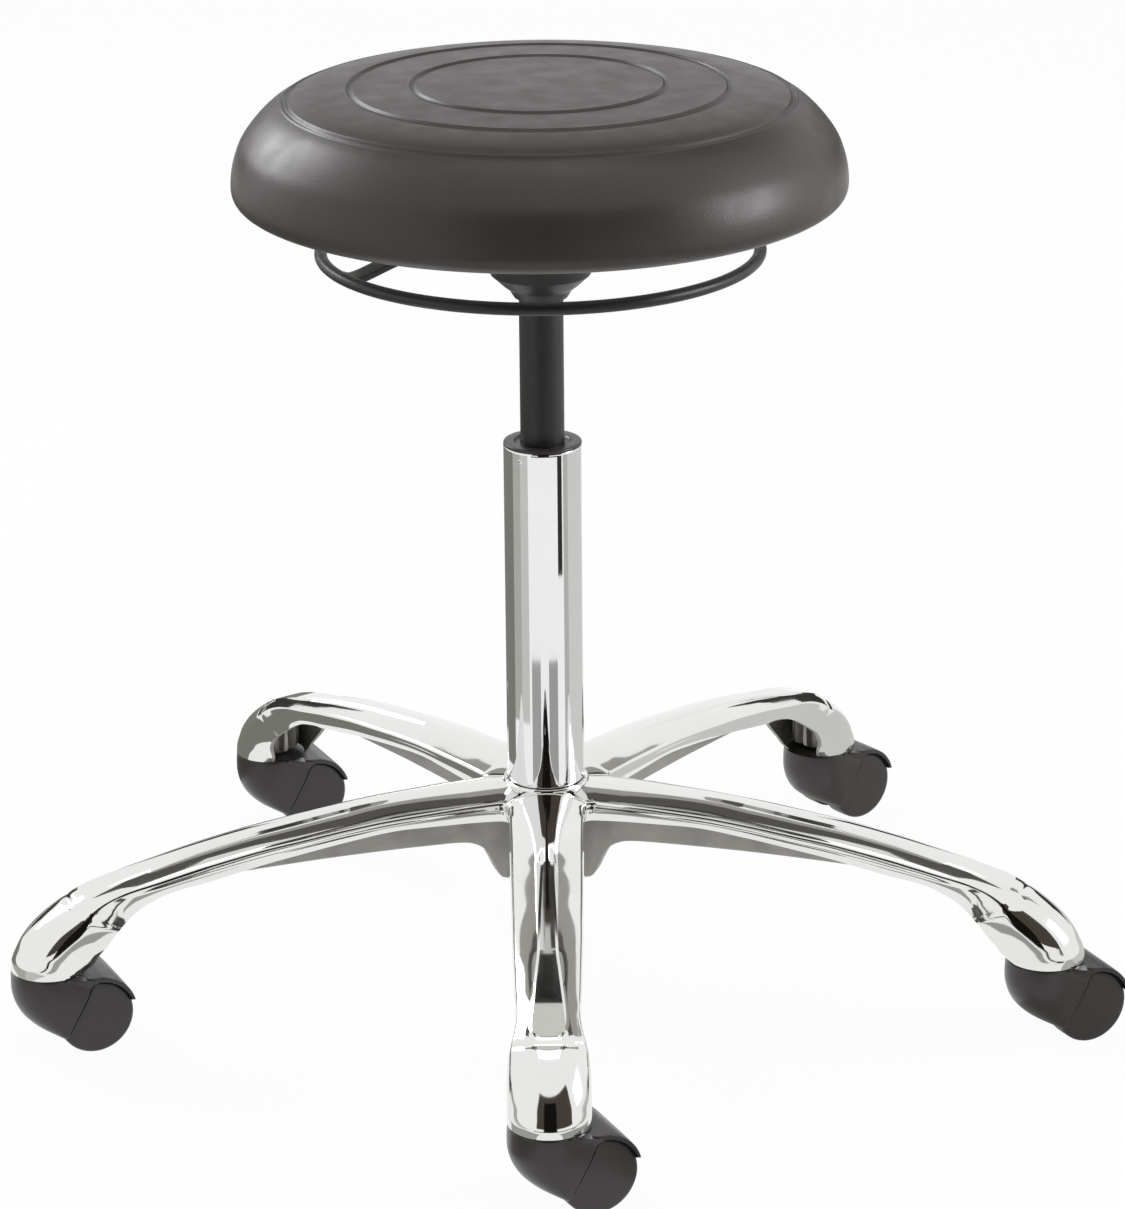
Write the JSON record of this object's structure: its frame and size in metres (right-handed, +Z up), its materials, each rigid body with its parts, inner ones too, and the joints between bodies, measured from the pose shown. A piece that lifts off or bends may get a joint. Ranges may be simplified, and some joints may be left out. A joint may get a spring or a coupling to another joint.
{
  "type": "adjustable swivel stool",
  "caption": "Round backless swivel stool with a gas-lift column, a lift ring under the padded seat and a polished star base on casters.",
  "frame": {"origin": "on the floor, on the lift column's axis", "axes": "+Z up along the column; the front leg points along -Y; -Z is the way the floor lies"},
  "size_m": [0.714, 0.6786, 0.6],
  "materials": {
    "polished_aluminium": "mirror-polished casting",
    "chrome_plate": "bright chrome plate",
    "black_nylon": "smooth moulded black nylon",
    "natural_nylon": "plain moulded nylon",
    "bearing_steel": "ground steel",
    "zinc_plated_steel": "bright zinc plate",
    "die_cast_aluminium": "machined",
    "black_rubber": "matte",
    "black_powder_coat": "satin black powder coat",
    "moulded_polyurethane": "self-skinned charcoal foam, fine grain",
    "plywood": "plain birch plywood"
  },
  "bodies": {
    "base": {"star_base": "polished_aluminium", "outer_column": "chrome_plate", "guide_bushing": "black_nylon", "lower_bearing_washer": "bearing_steel", "bearing_balls": "bearing_steel", "bearing_cage": "natural_nylon", "caster_1_stem": "zinc_plated_steel", "caster_1_grip_ring": "zinc_plated_steel", "caster_2_stem": "zinc_plated_steel", "caster_2_grip_ring": "zinc_plated_steel", "caster_3_stem": "zinc_plated_steel", "caster_3_grip_ring": "zinc_plated_steel", "caster_4_stem": "zinc_plated_steel", "caster_4_grip_ring": "zinc_plated_steel", "caster_5_stem": "zinc_plated_steel", "caster_5_grip_ring": "zinc_plated_steel"},
    "caster_1_fork": {"caster_1_hood": "black_nylon", "caster_1_axle": "zinc_plated_steel"},
    "caster_1_left_wheel": {"caster_1_wheel_left": "black_nylon"},
    "caster_1_right_wheel": {"caster_1_wheel_right": "black_nylon"},
    "caster_2_fork": {"caster_2_hood": "black_nylon", "caster_2_axle": "zinc_plated_steel"},
    "caster_2_left_wheel": {"caster_2_wheel_left": "black_nylon"},
    "caster_2_right_wheel": {"caster_2_wheel_right": "black_nylon"},
    "caster_3_fork": {"caster_3_hood": "black_nylon", "caster_3_axle": "zinc_plated_steel"},
    "caster_3_left_wheel": {"caster_3_wheel_left": "black_nylon"},
    "caster_3_right_wheel": {"caster_3_wheel_right": "black_nylon"},
    "caster_4_fork": {"caster_4_hood": "black_nylon", "caster_4_axle": "zinc_plated_steel"},
    "caster_4_left_wheel": {"caster_4_wheel_left": "black_nylon"},
    "caster_4_right_wheel": {"caster_4_wheel_right": "black_nylon"},
    "caster_5_fork": {"caster_5_hood": "black_nylon", "caster_5_axle": "zinc_plated_steel"},
    "caster_5_left_wheel": {"caster_5_wheel_left": "black_nylon"},
    "caster_5_right_wheel": {"caster_5_wheel_right": "black_nylon"},
    "lift_rod": {"piston_rod": "bearing_steel", "piston": "die_cast_aluminium", "piston_seal": "black_rubber", "rubber_buffer": "black_rubber", "upper_bearing_washer": "bearing_steel", "retaining_clip": "bearing_steel"},
    "seat": {"seat_cushion": "moulded_polyurethane", "seat_pan": "plywood", "tee_nuts": "zinc_plated_steel", "seat_plate": "black_powder_coat", "seat_hub": "black_powder_coat", "seat_bolts": "zinc_plated_steel", "bolt_washers": "zinc_plated_steel", "gas_cylinder": "black_powder_coat", "valve_body": "die_cast_aluminium", "rod_guide": "natural_nylon", "rod_seal": "black_rubber"},
    "release_lever": {"lever_ring": "black_powder_coat", "lever_arm": "black_powder_coat"},
    "valve_button": {"valve_button": "zinc_plated_steel"}
  },
  "joints": [
    {"name": "caster_1_swivel", "type": "hinge", "parent": "base", "child": "caster_1_fork", "pos_m": [0, -0.332, 0.055], "axis": [0, 0, 1], "continuous": true},
    {"name": "caster_1_left_wheel_roll", "type": "hinge", "parent": "caster_1_fork", "child": "caster_1_left_wheel", "pos_m": [0.01994, -0.3227, 0.025], "axis": [-0.4226, 0.9063, 0], "continuous": true},
    {"name": "caster_1_right_wheel_roll", "type": "hinge", "parent": "caster_1_fork", "child": "caster_1_right_wheel", "pos_m": [0.01994, -0.3227, 0.025], "axis": [-0.4226, 0.9063, 0], "continuous": true},
    {"name": "caster_2_swivel", "type": "hinge", "parent": "base", "child": "caster_2_fork", "pos_m": [0.31575, -0.10259, 0.055], "axis": [0, 0, 1], "continuous": true},
    {"name": "caster_2_left_wheel_roll", "type": "hinge", "parent": "caster_2_fork", "child": "caster_2_left_wheel", "pos_m": [0.33569, -0.0933, 0.025], "axis": [-0.4226, 0.9063, 0], "continuous": true},
    {"name": "caster_2_right_wheel_roll", "type": "hinge", "parent": "caster_2_fork", "child": "caster_2_right_wheel", "pos_m": [0.33569, -0.0933, 0.025], "axis": [-0.4226, 0.9063, 0], "continuous": true},
    {"name": "caster_3_swivel", "type": "hinge", "parent": "base", "child": "caster_3_fork", "pos_m": [0.19514, 0.26859, 0.055], "axis": [0, 0, 1], "continuous": true},
    {"name": "caster_3_left_wheel_roll", "type": "hinge", "parent": "caster_3_fork", "child": "caster_3_left_wheel", "pos_m": [0.21248, 0.28214, 0.025], "axis": [-0.6157, 0.788, 0], "continuous": true},
    {"name": "caster_3_right_wheel_roll", "type": "hinge", "parent": "caster_3_fork", "child": "caster_3_right_wheel", "pos_m": [0.21248, 0.28214, 0.025], "axis": [-0.6157, 0.788, 0], "continuous": true},
    {"name": "caster_4_swivel", "type": "hinge", "parent": "base", "child": "caster_4_fork", "pos_m": [-0.19514, 0.26859, 0.055], "axis": [0, 0, 1], "continuous": true},
    {"name": "caster_4_left_wheel_roll", "type": "hinge", "parent": "caster_4_fork", "child": "caster_4_left_wheel", "pos_m": [-0.17521, 0.27789, 0.025], "axis": [-0.4226, 0.9063, 0], "continuous": true},
    {"name": "caster_4_right_wheel_roll", "type": "hinge", "parent": "caster_4_fork", "child": "caster_4_right_wheel", "pos_m": [-0.17521, 0.27789, 0.025], "axis": [-0.4226, 0.9063, 0], "continuous": true},
    {"name": "caster_5_swivel", "type": "hinge", "parent": "base", "child": "caster_5_fork", "pos_m": [-0.31575, -0.10259, 0.055], "axis": [0, 0, 1], "continuous": true},
    {"name": "caster_5_left_wheel_roll", "type": "hinge", "parent": "caster_5_fork", "child": "caster_5_left_wheel", "pos_m": [-0.29581, -0.0933, 0.025], "axis": [-0.4226, 0.9063, 0], "continuous": true},
    {"name": "caster_5_right_wheel_roll", "type": "hinge", "parent": "caster_5_fork", "child": "caster_5_right_wheel", "pos_m": [-0.29581, -0.0933, 0.025], "axis": [-0.4226, 0.9063, 0], "continuous": true},
    {"name": "seat_swivel", "type": "hinge", "parent": "base", "child": "lift_rod", "pos_m": [0, 0, 0.083], "axis": [0, 0, 1], "continuous": true},
    {"name": "seat_lift", "type": "slide", "parent": "lift_rod", "child": "seat", "axis": [0, 0, 1], "range_m": [-0.09, 0.088]},
    {"name": "lever_tilt", "type": "hinge", "parent": "seat", "child": "release_lever", "pos_m": [-0.01924, -0.01067, 0.504], "axis": [-0.4848, 0.8746, 0], "range_deg": [0, 5], "stiffness_Nm_per_rad": 10, "springref_deg": -4.58},
    {"name": "valve_press", "type": "slide", "parent": "seat", "child": "valve_button", "axis": [0, 0, 1], "range_m": [-0.002, 0]}
  ],
  "couplings": [
    {"joint": "valve_press", "follows": "lever_tilt", "m_per_rad": -0.022}
  ]
}
